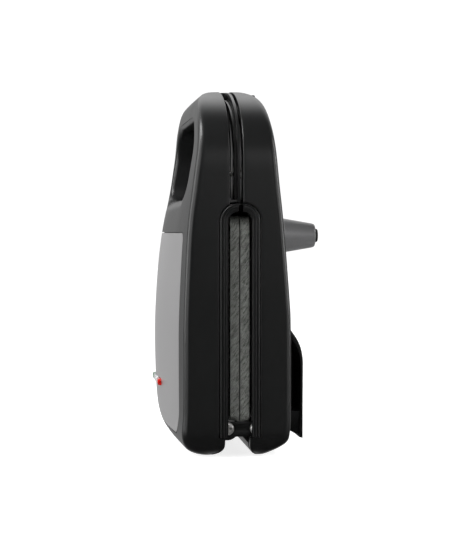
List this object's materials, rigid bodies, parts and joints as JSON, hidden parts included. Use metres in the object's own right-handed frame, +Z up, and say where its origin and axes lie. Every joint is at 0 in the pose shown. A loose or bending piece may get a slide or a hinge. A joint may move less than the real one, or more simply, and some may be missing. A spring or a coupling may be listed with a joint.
{
  "type": "sandwich maker",
  "caption": "Clamshell electric sandwich maker, closed and standing on its hinge end, with a carrying handle, latch, silver lid panel, pilot lamps and tapered feet.",
  "frame": {"origin": "centre of the underside of the box round the whole part, on the floor that it stands on", "axes": "+Z up along the height of the standing part, from the hinge end to the handle; +X through the thickness, from the lid to the base and its feet; Y along the hinge"},
  "size_m": [0.1064, 0.23, 0.2489],
  "materials": {
    "black_plastic": "satin black",
    "panel_metal": "satin",
    "cast_plate": "blasted, non-stick coated",
    "sheet_steel": "plain sheet",
    "element_steel": "heat darkened",
    "screw_steel": "plated",
    "grey_plastic": "satin grey",
    "foot_rubber": "matt",
    "ceramic": "matt, off-white",
    "red_lens": "clear red",
    "green_lens": "clear green",
    "clear_lens": "clear"
  },
  "bodies": {
    "base": {"base_housing": "black_plastic", "base_frame": "black_plastic", "base_handle_cover": "black_plastic", "cord_inlet": "black_plastic", "cord_hook_left": "black_plastic", "cord_hook_right": "black_plastic", "lower_plate": "cast_plate", "base_heat_shield": "sheet_steel", "lower_element": "element_steel", "base_pivot_screw_left": "screw_steel", "base_pivot_screw_right": "screw_steel", "lower_plate_screw_left": "screw_steel", "lower_plate_screw_right": "screw_steel", "base_screw_1": "screw_steel", "base_screw_2": "screw_steel", "base_screw_3": "screw_steel", "base_screw_4": "screw_steel", "base_cover_screw_1": "screw_steel", "base_cover_screw_2": "screw_steel", "front_foot_left": "grey_plastic", "front_foot_right": "grey_plastic", "foot_pad_left": "foot_rubber", "foot_pad_right": "foot_rubber", "thermal_fuse": "ceramic", "terminal_block": "ceramic"},
    "hinge_links": {"hinge_link_left": "black_plastic", "hinge_link_right": "black_plastic"},
    "lid": {"lid_housing": "black_plastic", "lid_panel": "panel_metal", "lid_frame": "black_plastic", "lid_handle_cover": "black_plastic", "lid_heat_shield": "sheet_steel", "upper_plate": "cast_plate", "upper_element": "element_steel", "thermostat": "ceramic", "lens_red": "red_lens", "lens_clear": "clear_lens", "lens_green": "green_lens", "lamp_holder": "ceramic", "neon_lamp_left": "clear_lens", "neon_lamp_right": "clear_lens", "latch_pin": "screw_steel", "lid_pivot_screw_left": "screw_steel", "lid_pivot_screw_right": "screw_steel", "upper_plate_screw_left": "screw_steel", "upper_plate_screw_right": "screw_steel", "lid_screw_1": "screw_steel", "lid_screw_2": "screw_steel", "lid_screw_3": "screw_steel", "lid_screw_4": "screw_steel", "lid_cover_screw_1": "screw_steel", "lid_cover_screw_2": "screw_steel"},
    "latch": {"latch_clip": "black_plastic"}
  },
  "joints": [
    {"name": "link_hinge", "type": "hinge", "parent": "base", "child": "hinge_links", "pos_m": [0.00863, 0, 0.0182], "axis": [0, -1, 0], "range_deg": [0, 60]},
    {"name": "lid_hinge", "type": "hinge", "parent": "hinge_links", "child": "lid", "pos_m": [-0.01097, 0, 0.0182], "axis": [0, -1, 0], "range_deg": [0, 33]},
    {"name": "latch_pivot", "type": "hinge", "parent": "lid", "child": "latch", "pos_m": [-0.01277, 0, 0.2442], "axis": [0, -1, 0], "range_deg": [0, 70]}
  ]
}
